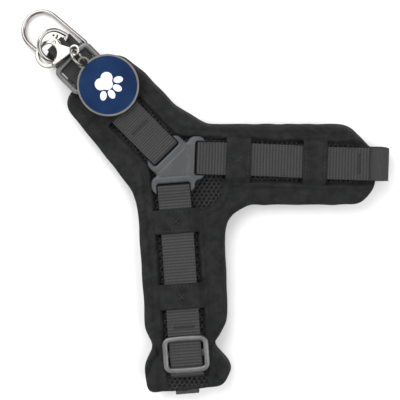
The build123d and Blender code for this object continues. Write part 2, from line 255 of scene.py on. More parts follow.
def field_shape(distance, low, high, spacing, top, bottom, levels):
    """A closed solid over the plan region where distance(x, y) is positive.

    A grid whose edge is pulled onto the region's outline carries the top and the flat bottom;
    levels are (outward offset, height) rings between them.
    """
    xs = np.arange(low[0] - 2 * spacing, high[0] + 2 * spacing, spacing)
    ys = np.arange(low[1] - 2 * spacing, high[1] + 2 * spacing, spacing)
    gx, gy = np.meshgrid(xs, ys, indexing="ij")
    inside = distance(gx, gy) > -0.5 * spacing
    cells = inside[:-1, :-1] & inside[1:, :-1] & inside[1:, 1:] & inside[:-1, 1:]
    index = np.arange(gx.size).reshape(gx.shape)
    i, j = np.nonzero(cells)
    quads = np.stack([index[i, j], index[i + 1, j], index[i + 1, j + 1], index[i, j + 1]], axis=1)
    used, flat = np.unique(quads, return_inverse=True)
    quads = flat.reshape(quads.shape)
    x = gx.ravel()[used]
    y = gy.ravel()[used]
    sides = np.concatenate([quads[:, [k, (k + 1) % 4]] for k in range(4)])
    known = {tuple(side) for side in sides.tolist()}
    rim = [side for side in known if (side[1], side[0]) not in known]
    edge = np.unique(np.array(rim))
    step = 0.05
    for _ in range(4):
        d = distance(x[edge], y[edge])
        nx = (distance(x[edge] + step, y[edge]) - distance(x[edge] - step, y[edge])) / (2 * step)
        ny = (distance(x[edge], y[edge] + step) - distance(x[edge], y[edge] - step)) / (2 * step)
        size = np.maximum(np.hypot(nx, ny), 0.3)
        x[edge] -= d * nx / size**2
        y[edge] -= d * ny / size**2
    nx /= size
    ny /= size
    d = np.maximum(distance(x, y), 0)
    d[edge] = 0
    count = len(x)
    points = [np.stack([x, y, height], axis=1) for height in (top(x, y, d), np.full(count, bottom))]
    ring_of = {int(v): k for k, v in enumerate(edge)}
    for offset, height in levels:
        ring = np.stack([x[edge] - nx * offset, y[edge] - ny * offset, np.full(len(edge), height)], axis=1)
        points.append(ring)
    faces = quads.tolist() + (quads[:, ::-1] + count).tolist()
    for a, b in rim:
        ladder = [(a, b)]
        for k in range(len(levels)):
            base = 2 * count + k * len(edge)
            ladder.append((base + ring_of[a], base + ring_of[b]))
        ladder.append((a + count, b + count))
        for (a0, b0), (a1, b1) in zip(ladder, ladder[1:]):
            faces.append([b0, a0, a1, b1])
    return Shape().add(np.vstack(points), faces)


def sweep_shape(stations, section, closed_path=True):
    """A tube through as many stations; section(k) gives the ring of points at one of them."""
    shape = Shape()
    rings = [section(k) for k in range(stations)]
    n = len(rings[0])
    faces = []
    last = stations if closed_path else stations - 1
    for k in range(last):
        m = (k + 1) % stations
        for i in range(n):
            j = (i + 1) % n
            faces.append([k * n + i, k * n + j, m * n + j, m * n + i])
    if not closed_path:
        faces.append(list(range(n))[::-1])
        faces.append([(stations - 1) * n + i for i in range(n)])
    return shape.add(np.vstack(rings), faces)


def tube_shape(points, radius, sides=8):
    """A round rod along points, with rounded-off ends."""
    points = np.asarray(points, float)
    tangents = np.gradient(points, axis=0)
    tangents /= np.linalg.norm(tangents, axis=1)[:, None]
    up = np.array([0.0, 0.0, 1.0])
    if abs(tangents[0] @ up) > 0.9:
        up = np.array([1.0, 0.0, 0.0])

    def section(k):
        side = np.cross(tangents[k], up)
        side /= np.linalg.norm(side)
        lift = np.cross(side, tangents[k])
        r = radius * (0.6 if k in (0, len(points) - 1) else 1.0)
        turns = np.arange(sides) * 2 * pi / sides
        return points[k] + r * (np.cos(turns)[:, None] * side + np.sin(turns)[:, None] * lift)

    return sweep_shape(len(points), section, closed_path=False)


def link(thing):
    bpy.context.scene.collection.objects.link(thing)


def paint(mesh, material):
    mesh.materials.clear()
    mesh.materials.append(material)


def make_piece(name, shape, half, body, material, smooth_levels=0, crease_angle=None):
    """Build an object from a shape, on the near or the far half, riding on a body."""
    points = shape.points.copy()
    faces = shape.faces
    if half == "near":
        points[:, 0] += near_shift[0]
        points[:, 1] += near_shift[1]
        points[:, 2] = fold_height + points[:, 2]
    else:
        points[:, 2] = fold_height - points[:, 2]
        faces = [face[::-1] for face in faces]
    mesh = bpy.data.meshes.new(name)
    mesh.from_pydata((points * MM).tolist(), [], faces)
    layer = mesh.uv_layers.new(name="along_across")
    loops = np.zeros(len(mesh.loops), np.int32)
    mesh.loops.foreach_get("vertex_index", loops)
    layer.data.foreach_set("uv", (shape.uvs * MM)[loops].ravel())
    mesh.validate()
    piece = bpy.data.objects.new(name, mesh)
    link(piece)
    tidy = bmesh.new()
    tidy.from_mesh(mesh)
    bmesh.ops.recalc_face_normals(tidy, faces=tidy.faces)
    tidy.to_mesh(mesh)
    tidy.free()
    if smooth_levels:
        subdivide(piece, smooth_levels)
    piece.data.shade_smooth()
    if crease_angle:
        bpy.context.view_layer.objects.active = piece
        piece.data.set_sharp_from_angle(angle=radians(crease_angle))
    piece.data.materials.append(material)
    if body:
        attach(piece, body)
    return piece


def apply_modifiers(piece):
    graph = bpy.context.evaluated_depsgraph_get()
    mesh = bpy.data.meshes.new_from_object(piece.evaluated_get(graph))
    piece.modifiers.clear()
    old = piece.data
    piece.data = mesh
    bpy.data.meshes.remove(old)


def subdivide(piece, levels):
    modifier = piece.modifiers.new("smooth", "SUBSURF")
    modifier.levels = levels
    modifier.render_levels = levels
    apply_modifiers(piece)


# ---- materials ----
class Nodes:
    """A small helper around a material's node tree."""

    def __init__(self, name):
        self.material = bpy.data.materials.new(name)
        self.material.use_nodes = True
        self.tree = self.material.node_tree
        self.shader = self.tree.nodes["Principled BSDF"]
        self.where = self.tree.nodes.new("ShaderNodeTexCoord").outputs["Object"]

    def feed(self, socket, value):
        """Link a node's output to the socket, or set the value on it."""
        if hasattr(value, "links"):
            self.tree.links.new(value, socket)
        else:
            socket.default_value = value

    def node(self, kind, inputs=None, **settings):
        made = self.tree.nodes.new(kind)
        for key, value in settings.items():
            setattr(made, key, value)
        for key, value in (inputs or {}).items():
            self.feed(made.inputs[key], value)
        return made

    def split_uv(self):
        """The piece's own coordinates, along it and across it."""
        uv = self.node("ShaderNodeUVMap", uv_map="along_across").outputs["UV"]
        split = self.node("ShaderNodeSeparateXYZ", {"Vector": uv})
        return split.outputs["X"], split.outputs["Y"]

    def noise(self, scale, detail=3.0):
        inputs = {"Vector": self.where, "Scale": scale, "Detail": detail}
        return self.node("ShaderNodeTexNoise", inputs).outputs["Fac"]

    def ramp(self, factor, *stops):
        """A colour ramp; stops are (position, colour)."""
        made = self.node("ShaderNodeValToRGB", {"Fac": factor})
        ramp = made.color_ramp
        while len(ramp.elements) < len(stops):
            ramp.elements.new(0.5)
        for element, (position, colour) in zip(ramp.elements, stops):
            element.position = position
            element.color = (*colour, 1.0)
        return made.outputs["Color"]

    def math(self, operation, a, b):
        made = self.node("ShaderNodeMath", operation=operation)
        for socket, value in zip(made.inputs, (a, b)):
            self.feed(socket, value)
        return made.outputs[0]

    def remap(self, value, low, high):
        inputs = {"Value": value, "To Min": low, "To Max": high}
        return self.node("ShaderNodeMapRange", inputs).outputs["Result"]

    def bump(self, height, distance, strength=1.0, normal=None):
        inputs = {"Height": height, "Distance": distance, "Strength": strength}
        if normal:
            inputs["Normal"] = normal
        return self.node("ShaderNodeBump", inputs).outputs["Normal"]

    def finish(self, **sockets):
        for key, value in sockets.items():
            self.feed(self.shader.inputs[key.replace("_", " ")], value)
        return self.material


def grey(value, warm=0.0):
    return (value * (1 + warm), value, value * (1 - warm))


def suede_material():
    """Brushed black fabric: mottled nap, fine fibres and a soft sheen."""
    n = Nodes("suede")
    patches = n.noise(180.0, 5.0)
    fibres = n.noise(2600.0, 4.0)
    blend = n.math("ADD", n.math("MULTIPLY", patches, 0.6), n.math("MULTIPLY", fibres, 0.4))
    colour = n.ramp(blend, (0.34, (0.0085, 0.0086, 0.0088)), (0.66, (0.0225, 0.0228, 0.0232)))
    normal = n.bump(fibres, 0.00035, 0.5, n.bump(n.noise(420.0, 4.0), 0.0009, 0.35))
    rough = n.remap(patches, 0.85, 1.0)
    return n.finish(
        Base_Color=colour, Roughness=rough, Normal=normal, Sheen_Weight=0.2, Sheen_Roughness=0.5,
        Sheen_Tint=(0.14, 0.145, 0.155, 1.0), Specular_IOR_Level=0.1,
    )


def air_mesh_material():
    """Open knit over foam: fine cell texture on the real dimples, with painted shade in the holes."""
    n = Nodes("air_mesh")
    cells = n.node("ShaderNodeTexVoronoi", {"Vector": n.where, "Scale": 1500.0})
    knit = cells.outputs["Distance"]
    # painted shade in the knit's holes, taken from the hole pattern in the first UV coordinate
    hole_shade = n.math("MULTIPLY", n.split_uv()[0], 1 / MM)
    shade = n.math("SUBTRACT", n.noise(700.0, 4.0), n.math("MULTIPLY", hole_shade, 0.6))
    colour = n.ramp(shade, (0.1, grey(0.002)), (0.35, grey(0.010)), (0.65, grey(0.030)))
    normal = n.bump(knit, 0.0003, 0.6, n.bump(n.noise(900.0), 0.0004, 0.4))
    return n.finish(
        Base_Color=colour, Roughness=n.remap(knit, 0.6, 0.9), Normal=normal, Specular_IOR_Level=0.25,
    )


def webbing_material(name, pitch):
    """Nylon webbing: yarn crowns in rows on top of the modelled ribs, with painted highlights on the crowns
    and painted shade, dark between them.
    """
    n = Nodes(name)
    along, across = n.split_uv()

    def wave(value, period):
        return n.math("ABSOLUTE", n.math("SINE", n.math("MULTIPLY", value, pi / period), 0.0), 0.0)

    rib = wave(along, pitch * MM)
    crown = wave(across, 0.00125)
    twist = wave(n.math("ADD", across, n.math("MULTIPLY", along, 0.6)), 0.0004)
    height = n.math("ADD", n.math("MULTIPLY", crown, 0.75), n.math("MULTIPLY", twist, 0.25))
    worn = n.noise(220.0, 4.0)
    # painted highlight on the yarn crowns and painted shade in the gaps between the ribs
    lit = n.math("MULTIPLY", rib, n.math("ADD", 0.45, n.math("MULTIPLY", height, 0.55)))
    shade = n.math("ADD", n.math("MULTIPLY", lit, 0.75), n.math("MULTIPLY", worn, 0.25))
    colour = n.ramp(shade, (0.15, grey(0.008)), (0.5, grey(0.0175)), (0.88, grey(0.042, 0.01)))
    normal = n.bump(height, 0.00022, 0.8, n.bump(n.noise(3000.0), 0.00015, 0.4))
    return n.finish(
        Base_Color=colour, Roughness=n.remap(worn, 0.45, 0.65), Normal=normal, Specular_IOR_Level=0.35,
    )


def lining_material():
    """Smooth knitted lining."""
    n = Nodes("lining")
    wave = n.node("ShaderNodeTexVoronoi", {"Vector": n.where, "Scale": 2200.0}).outputs["Distance"]
    colour = n.ramp(n.noise(240.0, 4.0), (0.3, grey(0.012)), (0.7, grey(0.026)))
    normal = n.bump(wave, 0.0002, 0.5)
    return n.finish(Base_Color=colour, Roughness=n.remap(wave, 0.65, 0.9), Normal=normal)


def plate_material():
    """Gunmetal moulding with a satin skin and faint handling marks."""
    n = Nodes("plate")
    marks = n.noise(90.0, 5.0)
    grain = n.noise(3800.0, 2.0)
    colour = n.ramp(marks, (0.3, (0.050, 0.052, 0.054)), (0.7, (0.070, 0.072, 0.075)))
    normal = n.bump(grain, 0.00008, 0.35)
    return n.finish(
        Base_Color=colour, Roughness=n.remap(marks, 0.38, 0.5), Normal=normal, Metallic=0.3,
        Specular_IOR_Level=0.4,
    )


def slider_material():
    """Satin plated metal, a little hazy."""
    n = Nodes("slider")
    haze = n.noise(140.0, 4.0)
    grain = n.noise(2400.0, 3.0)
    colour = n.ramp(haze, (0.3, (0.13, 0.13, 0.133)), (0.7, (0.18, 0.18, 0.184)))
    return n.finish(
        Base_Color=colour, Roughness=n.remap(haze, 0.42, 0.52), Metallic=0.8,
        Normal=n.bump(grain, 0.00006, 0.4),
    )


def metal_material(name, low, high, rough_low, rough_high):
    """Bare or plated metal, hazy in patches, with fine scratches."""
    n = Nodes(name)
    haze = n.noise(160.0, 4.0)
    scratches = n.noise(2200.0, 2.0)
    colour = n.ramp(haze, (0.3, low), (0.7, high))
    return n.finish(
        Base_Color=colour, Roughness=n.remap(haze, rough_low, rough_high), Metallic=1.0,
        Normal=n.bump(scratches, 0.00003, 0.3),
    )


def enamel_material(name, low, high):
    """Glossy poured enamel with a slightly uneven surface."""
    n = Nodes(name)
    pool = n.noise(70.0, 3.0)
    colour = n.ramp(pool, (0.3, low), (0.7, high))
    normal = n.bump(pool, 0.0004, 0.15)
    return n.finish(
        Base_Color=colour, Roughness=n.remap(pool, 0.12, 0.22), Normal=normal, Coat_Weight=0.05,
        Coat_Roughness=0.06, Specular_IOR_Level=0.2,
    )


def thread_material():
    """Twisted sewing thread."""
    n = Nodes("thread")
    twist = n.noise(5200.0, 2.0)
    colour = n.ramp(twist, (0.3, grey(0.006)), (0.7, grey(0.02)))
    return n.finish(Base_Color=colour, Roughness=n.remap(twist, 0.5, 0.7), Normal=n.bump(twist, 0.0001, 0.5))


suede = suede_material()
air_mesh = air_mesh_material()
webbing = webbing_material("webbing", rib_pitch)
fine_webbing = webbing_material("fine_webbing", fine_rib_pitch)
lining_cloth = lining_material()
gunmetal = plate_material()
satin = slider_material()
chrome = metal_material("chrome", (0.29, 0.281, 0.264), (0.36, 0.350, 0.328), 0.16, 0.24)
spring_steel = metal_material("spring_steel", (0.4, 0.4, 0.41), (0.55, 0.55, 0.56), 0.25, 0.35)
navy = enamel_material("navy_enamel", (0.002, 0.014, 0.055), (0.004, 0.026, 0.085))
white = enamel_material("white_enamel", (0.66, 0.68, 0.71), (0.76, 0.77, 0.79))
thread = thread_material()

# ---- pads ----
def softened(loop):
    """The outline with its corners eased, as soft fabric turns them."""
    step = 1.5
    reach = 1.7
    even, _ = resample(loop, step)
    offsets = np.arange(-6, 7)
    weights = np.exp(-0.5 * (offsets * step / reach) ** 2)
    weights /= weights.sum()
    return sum(w * np.roll(even, k, axis=0) for k, w in zip(offsets, weights))


pad_loop = softened(outline_of("near_lining"))
pad_low = pad_loop.min(axis=0)
pad_high = pad_loop.max(axis=0)
crown_reach = 3.4  # the rim rises to its crown over this width
edge_height = 2.5
crown_rise = 2.0
welt_at = 2.6  # from the channel's edge: the raised welt beside the strap
welt_height = 0.75
welt_width = 1.4
seam_at = 5.4  # from the channel's edge: where the rim is sewn down
seam_depth = 1.1
seam_width = 0.7
crease_depth = 1.8
crease_width = 0.9
pad_bottom = 1.02
mesh_seat = 1.5  # the pad's floor under the air mesh
mesh_fade = 0.6  # the mesh stops within this distance of its end
waist_creases = (
    ((-17.5, -108.5), (-10.9, -114.6)),
    ((-10.9, -114.8), (-15.4, -121.4)),
    ((-15.4, -121.4), (-18.5, -131.5)),
    ((23.0, -109.0), (17.4, -112.4)),
    ((17.0, -122.0), (24.5, -131.5)),
)


def pad_distance(x, y):
    return polygon_distance(x, y, pad_loop) + 0.25 * ripple(x, y, 14.0, 3)


def waist_groove(x, y):
    """Depth of the grooves where the pad is pulled in at the waist, each with a ridge beside it."""
    total = np.zeros_like(x)
    for (x0, y0), (x1, y1) in waist_creases:
        length = hypot(x1 - x0, y1 - y0)
        t = ((x - x0) * (x1 - x0) + (y - y0) * (y1 - y0)) / length**2
        off = ((x - x0) * (y1 - y0) - (y - y0) * (x1 - x0)) / length
        fade = smooth_step(-0.1, 0.1, t) * smooth_step(1.1, 0.9, t)
        fold = np.exp(-((off / crease_width) ** 2)) - 0.6 * np.exp(-(((off - 2.2) / 1.3) ** 2))
        total = np.where(np.abs(fade * fold) > np.abs(total), fade * fold, total)
    return crease_depth * total


def on_mesh(x, y):
    """1 over the air mesh, 0 where fabric bridges the channel at the arms' ends."""
    total = np.zeros_like(x)
    for line in strap_lines:
        along, across = to_strap(line, x, y)
        near_line = (np.abs(across) < channel_half + 1) & (along > channel_start)
        end = mesh_ends[line]
        total = np.maximum(total, near_line * smooth_step(end + mesh_fade, end - mesh_fade, along))
    total = np.maximum(total, np.hypot(x, y) < junction_radius + 1)
    patch = np.hypot(x - corner_patch[0], y - corner_patch[1])
    return np.maximum(total, patch < corner_radius + 1)


def under_slider(x, y):
    """1 where a slider presses the pad's welt flat; both halves share one pad shape."""
    pressed = np.zeros_like(x)
    for line, at in ((chest_line, sliders["near_chest_slider"][2]), (back_line, 67.0)):
        along, across = to_strap(line, x, y)
        beside = np.abs(across) < 18.0
        pressed = np.maximum(pressed, smooth_step(17.0, 13.0, np.abs(along - at)) * beside)
    return pressed


def pad_top(x, y, d):
    """Height of the pad: a crowned rim with its welt and sewn seam, and a low floor in the channels."""
    channel = channel_distance(x, y)
    t = np.clip(1 - d / crown_reach, 0, 1)
    crown = edge_height + crown_rise * np.sqrt(1 - t * t)
    welt = welt_height * np.exp(-(((channel - welt_at) / welt_width) ** 2)) * (1 - under_slider(x, y))
    seam = seam_depth * np.exp(-(((channel - seam_at) / seam_width) ** 2)) * smooth_step(1.5, 4.0, d)
    uneven = 0.16 * ripple(x, y, 16.0, 5) + 0.07 * ripple(x, y, 5.0, 6)
    rim = crown + welt - seam - waist_groove(x, y) + uneven * smooth_step(0.5, 3.0, d)
    floor = np.where(on_mesh(x, y) > 0.5, mesh_seat, mesh_top - 0.1)
    wall = smooth_step(0.1, 1.7, channel)
    return np.minimum(floor, rim) * (1 - wall) + rim * wall


pad_shape = field_shape(
    pad_distance, pad_low, pad_high, 1.0, pad_top, pad_bottom, [(0.3, 2.0), (0.3, 1.5)],
)


cloth_frames = 20
cloth_reach = 0.7  # millimetres that any point may move


def relax_cloth(shape):
    """Puff the pad's top with a short cloth simulation; seams, channels and edges are pinned."""
    count = len(shape.points)
    mesh = bpy.data.meshes.new("cloth_pass")
    mesh.from_pydata((shape.points * MM).tolist(), [], shape.faces)
    cloth_object = bpy.data.objects.new("cloth_pass", mesh)
    link(cloth_object)
    x, y, h = shape.points.T
    channel = channel_distance(x, y)
    above_edge = h > edge_height + 0.6
    free = (channel > 1.5) & (np.abs(channel - seam_at) > 0.8) & above_edge
    group = cloth_object.vertex_groups.new(name="held")
    group.add(np.nonzero(~free)[0].tolist(), 1.0, "REPLACE")
    cloth = cloth_object.modifiers.new("cloth", "CLOTH")
    for key, value in {
        "quality": 4, "mass": 0.05, "tension_stiffness": 12, "compression_stiffness": 12,
        "bending_stiffness": 0.15, "shrink_min": -0.05, "use_pressure": True,
        "uniform_pressure_force": 4.0, "vertex_group_mass": "held",
    }.items():
        setattr(cloth.settings, key, value)
    cloth.settings.effector_weights.gravity = 0
    cloth.point_cache.frame_start = 1
    cloth.point_cache.frame_end = cloth_frames
    for step in range(1, cloth_frames + 1):
        bpy.context.scene.frame_set(step)
    graph = bpy.context.evaluated_depsgraph_get()
    done = np.zeros(count * 3)
    cloth_object.evaluated_get(graph).data.vertices.foreach_get("co", done)
    move = done.reshape(-1, 3) / MM - shape.points
    size = np.linalg.norm(move, axis=1)
    move *= np.minimum(1, cloth_reach / np.maximum(size, 1e-6))[:, None]
    move[~free] = 0
    shape.points = shape.points + move
    bpy.data.objects.remove(cloth_object)
    bpy.data.meshes.remove(mesh)
    bpy.context.scene.frame_set(1)


relax_cloth(pad_shape)

for half in ("near", "far"):
    pad = make_piece(f"{half}_pad", pad_shape, half, f"{half}_half", suede, smooth_levels=1)
    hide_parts(f"{half}_padded_rim", f"{half}_foam_core")

# ---- air mesh ----
hole_pitch = 3.0
hole_row = 2.3
hole_radius = 0.9
hole_depth = 1.1
mesh_bottom = 1.3
mesh_tuck = 1.2  # the mesh runs this far under the rim
junction_reach = 30.0


def mesh_distance(x, y):
    """Distance inside the mesh panel's outline, which is tucked under the rim."""
    inside = np.full_like(x, -99.0)
    for line in strap_lines:
        along, across = to_strap(line, x, y)
        strip = np.minimum(mesh_ends[line] - along, along - channel_start)
        inside = np.maximum(inside, np.minimum(strip, channel_half + mesh_tuck - np.abs(across)))
    inside = np.maximum(inside, junction_radius + mesh_tuck - np.hypot(x, y))
    patch = np.hypot(x - corner_patch[0], y - corner_patch[1])
    inside = np.maximum(inside, corner_radius + mesh_tuck - patch)
    valleys = np.minimum(mesh_tuck - channel_distance(x, y), junction_reach - np.hypot(x, y))
    inside = np.maximum(inside, valleys)
    return np.minimum(inside, polygon_distance(x, y, pad_loop) - 0.6)


def hole_pattern(x, y):
    """1 at the middle of each hole of the knit, in staggered rows."""
    row = np.round(y / hole_row)
    shift = np.where(row % 2 == 0, 0.0, hole_pitch / 2)
    dx = (x - shift + hole_pitch / 2) % hole_pitch - hole_pitch / 2
    dy = y - row * hole_row
    return np.exp(-(np.hypot(dx, dy) / hole_radius) ** 3)


def mesh_height(x, y, d):
    plain = mesh_top - 0.05 + 0.08 * ripple(x, y, 11.0, 9)
    return plain - hole_depth * hole_pattern(x, y) * smooth_step(0.2, 1.0, d)


mesh_shape = field_shape(mesh_distance, pad_low, pad_high, 0.5, mesh_height, mesh_bottom, [])
# The material paints shade into the holes: the first UV coordinate carries the hole pattern, 1 at a hole's
# middle.
mesh_shape.uvs[:, 0] = hole_pattern(mesh_shape.points[:, 0], mesh_shape.points[:, 1])
for half in ("near", "far"):
    panel = make_piece(f"{half}_air_mesh", mesh_shape, half, f"{half}_half", air_mesh)
    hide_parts(f"{half}_mesh_panel")

# ---- webbing ----
rib_samples = 8
edge_share = 0.93  # from here outwards the webbing's edge is rounded
edge_steps = np.linspace(edge_share, 1, 3)
middle_steps = np.linspace(-edge_share, edge_share, 15)
across_steps = np.concatenate([-edge_steps[:0:-1], middle_steps, edge_steps[1:]])


def band_path(line, slack=None):
    """The strap's closed route in its side plane: along the strap, and height."""
    end = strap_length(line) - loop_radius - webbing_thickness / 2
    high = bar_level + loop_radius
    ramp = 8.0
    ring_ramp = 4.0
    route = [np.array([[end, lower_web], [bar_offset, lower_web]])]
    route.append(arc((bar_offset, bar_level), loop_radius, 270, 90))
    route.append(np.array([[bar_offset + ramp, upper_web]]))
    if slack:
        climb = [[end - slack - ring_ramp, upper_web], [end - slack, high], [end, high]]
        route.append(np.array(climb))
        route.append(arc((end, bar_level), loop_radius, 90, -90))
    else:
        half_gap = (upper_web - lower_web) / 2
        route.append(np.array([[end, upper_web]]))
        route.append(arc((end, lower_web + half_gap), half_gap, 90, -90))
    return np.vstack(route)


def webbing_shape(line, path, pitch, width_at=None, sway=0.0):
    """A ribbed strap swept along a side-plane route, with ribs at the pitch."""
    step = pitch / rib_samples
    points, at = resample(path, step)
    ahead = np.roll(points, -3, axis=0) - np.roll(points, 3, axis=0)
    ahead /= np.maximum(np.hypot(*ahead.T), 1e-6)[:, None]
    normals = np.stack([-ahead[:, 1], ahead[:, 0]], axis=1)
    rib = 0.70 + 0.30 * np.abs(np.sin(pi * at / pitch)) ** 0.7
    half = webbing_thickness / 2
    past_edge = ((np.abs(across_steps) - edge_share) / (1 - edge_share)).clip(0)
    swell = np.sqrt(np.clip(1 - past_edge**2, 0.05, 1))
    uvs = []

    def section(k):
        left, right = width_at(*points[k]) if width_at else (-webbing_width / 2, webbing_width / 2)
        c = (left + right) / 2 + across_steps * (right - left) / 2
        beat = 1 + 0.03 * np.sin(c * 2 * pi / 1.3 + 0.5 * (k // rib_samples))
        thick = half * rib[k] * swell * beat
        ring = []
        for sign, order in ((1, slice(None)), (-1, slice(None, None, -1))):
            for cc, tt in zip(c[order], thick[order]):
                a, h = points[k] + sign * tt * normals[k]
                x, y = from_strap(line, a, cc + sway * sin(a / 19.0))
                ring.append((x, y, h))
                uvs.append((at[k], cc))
        return np.array(ring)

    shape = sweep_shape(len(points), section)
    shape.uvs = np.array(uvs)
    return shape


def tongue(along, height):
    """The near back strap's upper layer narrows to fit inside the small ring."""
    length = strap_length(back_line)
    t = float(smooth_step(length - 15.0, length - 10.0, along))
    t *= float(smooth_step(lower_web + 0.1, lower_web + 0.9, height))
    half = webbing_width / 2
    return -half + 5.0 * t, half - 3.0 * t


near_route = band_path(back_line, ring_slack["near"])
far_route = band_path(far_back_line, ring_slack["far"])
near_straps = {
    "back": webbing_shape(back_line, near_route, fine_rib_pitch, width_at=tongue),
    "girth": webbing_shape(girth_line, band_path(girth_line), rib_pitch, sway=0.25),
    "chest": webbing_shape(chest_line, band_path(chest_line), rib_pitch, sway=0.25),
}
far_straps = dict(near_straps)
far_straps["back"] = webbing_shape(far_back_line, far_route, fine_rib_pitch)
for half, straps in (("near", near_straps), ("far", far_straps)):
    for arm, shape in straps.items():
        finish = fine_webbing if arm == "back" else webbing
        strap = make_piece(f"{half}_{arm}_webbing", shape, half, f"{half}_half", finish)
        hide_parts(f"{half}_{arm}_strap")

# ---- three-slot plate ----
hub_center = (0.8, 0.0)
hub_radius = 14.6
wing_back = 5.0  # from the slot's inner edge to the wing's back edge
wing_corner = 4.6
hub_blend = 1.6
slot_reach = 20.0
slot_corner = 1.6
groove_at = 3.9  # from the slots' edges: a fine groove around the hub
groove_depth = 0.28
edge_round = 1.3


def wing_distance(x, y):
    """Three wings with rounded horns, joined by a round hub."""
    field = np.hypot(x - hub_center[0], y - hub_center[1]) - hub_radius
    for line in strap_lines:
        along, across = to_strap(line, x, y)
        wing = rounded_box(along, across, -wing_back, wing_end, wing_half, wing_corner)
        field = smooth_union(field, wing, hub_blend)
    return field


def slot_distance(x, y):
    field = np.full_like(x, 99.0)
    for line in strap_lines:
        along, across = to_strap(line, x, y)
        slot = rounded_box(along, across, 0.0, slot_reach, slot_half, slot_corner)
        field = np.minimum(field, slot)
    return field


def plate_distance(x, y):
    return -np.maximum(wing_distance(x, y), -slot_distance(x, y))


def plate_height(x, y, d):
    """A rounded edge, raised frames around the slots, a fine groove and a slightly domed hub."""
    slot = slot_distance(x, y)
    t = np.clip(1 - d / edge_round, 0, 1)
    rounding = edge_round * (1 - np.sqrt(1 - t * t)) * 0.85
    beside_slots = smooth_step(4.2, 3.2, slot)
    groove = groove_depth * np.exp(-(((slot - groove_at) / 0.45) ** 2)) * smooth_step(1.0, 2.2, d)
    dome = 0.35 * np.exp(-((np.hypot(x - 1.2, y + 0.3) / 9.0) ** 2))
    return plate_top - 0.45 + 0.42 * beside_slots + dome * (1 - beside_slots) - groove - rounding


plate_shape = field_shape(
    plate_distance, (-24, -26), (26, 26), 0.35, plate_height, plate_bottom,
    [(0.0, 7.2), (0.0, 5.4), (-0.25, 5.0)],
)
bar_half = 11.4
for line in strap_lines:
    sides = np.linspace(-bar_half, bar_half, 5)
    rod = tube_shape([(*from_strap(line, bar_offset, side), bar_level) for side in sides], bar_radius, 20)
    plate_shape.join(rod)
for half in ("near", "far"):
    plate = make_piece(
        f"{half}_plate", plate_shape, half, f"{half}_half", gunmetal, crease_angle=50,
    )
    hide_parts(f"{half}_tri_slot_plate")

# ---- keepers ----
keeper_foot = 15.6
keeper_thickness = 0.9
keeper_base = rim_top + 0.55  # top of the band where it lies on the rim
keeper_lift = 3.05  # rise from there to the strap
keeper_face = keeper_base + keeper_lift
hem_radius = 0.8


def keeper_shape(line, start, width, seed):
    """A fabric band from rim to rim over the strap, rounded at its hems."""
    across = np.linspace(-keeper_foot, keeper_foot, 73)
    along = np.linspace(0, width, 31)
    shape = Shape()
    points = []
    for face in (1, 0):
        for a in along:
            hem = min(a, width - a)
            round_off = 0.4 * (1 - min(1.0, hem / hem_radius)) ** 2
            hem_roll = 0.18 * np.exp(-(((hem - 1.0) / 0.7) ** 2))
            for c in across:
                foot = smooth_step(keeper_foot, keeper_foot - 2.2, abs(c))
                over = smooth_step(14.2, 10.2, abs(c))
                x, y = from_strap(line, start + a, c)
                wave = 0.12 * ripple(np.array(x), np.array(y), 9.0, seed)
                sag = 0.15 * sin(pi * a / width) * over
                top = keeper_base + keeper_lift * over + wave - sag + hem_roll
                thick = keeper_thickness * (0.45 + 0.55 * foot)
                low = top - thick + round_off
                points.append((x, y, float((top - round_off if face else low) - 1.4 * (1 - foot))))
    n = len(across)
    m = len(along)
    faces = []
    for face in (0, 1):
        base = face * n * m
        for i in range(m - 1):
            for j in range(n - 1):
                corner = base + i * n + j
                quad = [corner, corner + n, corner + n + 1, corner + 1]
                faces.append(quad if face else quad[::-1])
    border = [j for j in range(n)] + [i * n + n - 1 for i in range(1, m)]
    border += [(m - 1) * n + j for j in range(n - 2, -1, -1)] + [i * n for i in range(m - 2, 0, -1)]
    for a, b in zip(border, border[1:] + border[:1]):
        faces.append([a, b, b + n * m, a + n * m])
    return shape.add(points, faces)


for number, (name, (line, start, width)) in enumerate(keepers.items()):
    for half in ("near", "far"):
        shape = keeper_shape(line, start, width, 20 + number)
        band = make_piece(f"{half}_{name}_band", shape, half, f"{half}_half", suede)
        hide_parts(f"{half}_{name}")

# ---- sliders ----
slider_length = 21.5
slider_width = 27.5
window_length = 15.3
window_width = 22.3
rail_bottom = 4.9
rail_corner = 3.0
rail_half = 1.6
end_bulge = 0.5


def slider_shape(line, at):
    """A domed frame over the strap on two legs, with its middle bar under the strap."""
    half_long = (slider_length + window_length) / 4
    half_wide = (slider_width + window_width) / 4
    route = []
    for turn, (sx, sy) in enumerate(((1, 1), (-1, 1), (-1, -1), (1, -1))):
        center = (sx * (half_long - rail_corner), sy * (half_wide - rail_corner))
        route.append(arc(center, rail_corner, 90 * turn, 90 * turn + 90, 10))
    route, _ = resample(np.vstack(route), 0.8)
    ahead = np.roll(route, -1, axis=0) - np.roll(route, 1, axis=0)
    ahead /= np.hypot(*ahead.T)[:, None]
    outward = np.stack([ahead[:, 1], -ahead[:, 0]], axis=1)
    on_ends = np.abs(route[:, 0]) > half_long - 1
    swell = np.cos(pi * route[:, 1] / (2 * half_wide))
    route[:, 0] += end_bulge * np.sign(route[:, 0]) * swell * on_ends
    turns = np.linspace(0, pi, 11)
    profile = [(rail_half * cos(t), frame_bottom + 0.5 + 1.1 * sin(t)) for t in turns]
    profile += [(-1.4, frame_bottom + 0.05), (1.4, frame_bottom + 0.05)]

    def section(k):
        ring = []
        for u, h in profile:
            along, across = route[k] + u * outward[k]
            ring.append((*from_strap(line, at + along, across), h))
        return np.array(ring)

    shape = sweep_shape(len(route), section)
    leg_half = window_length / 2 - 0.4
    for sign in (1, -1):
        shape.join(box_shape(line, at, sign * half_wide, leg_half, 1.1, rail_bottom, frame_bottom + 0.6))
    return shape.join(box_shape(line, at, 0.0, 2.0, half_wide + 0.4, rail_bottom + 0.1, rail_bottom + 0.9))


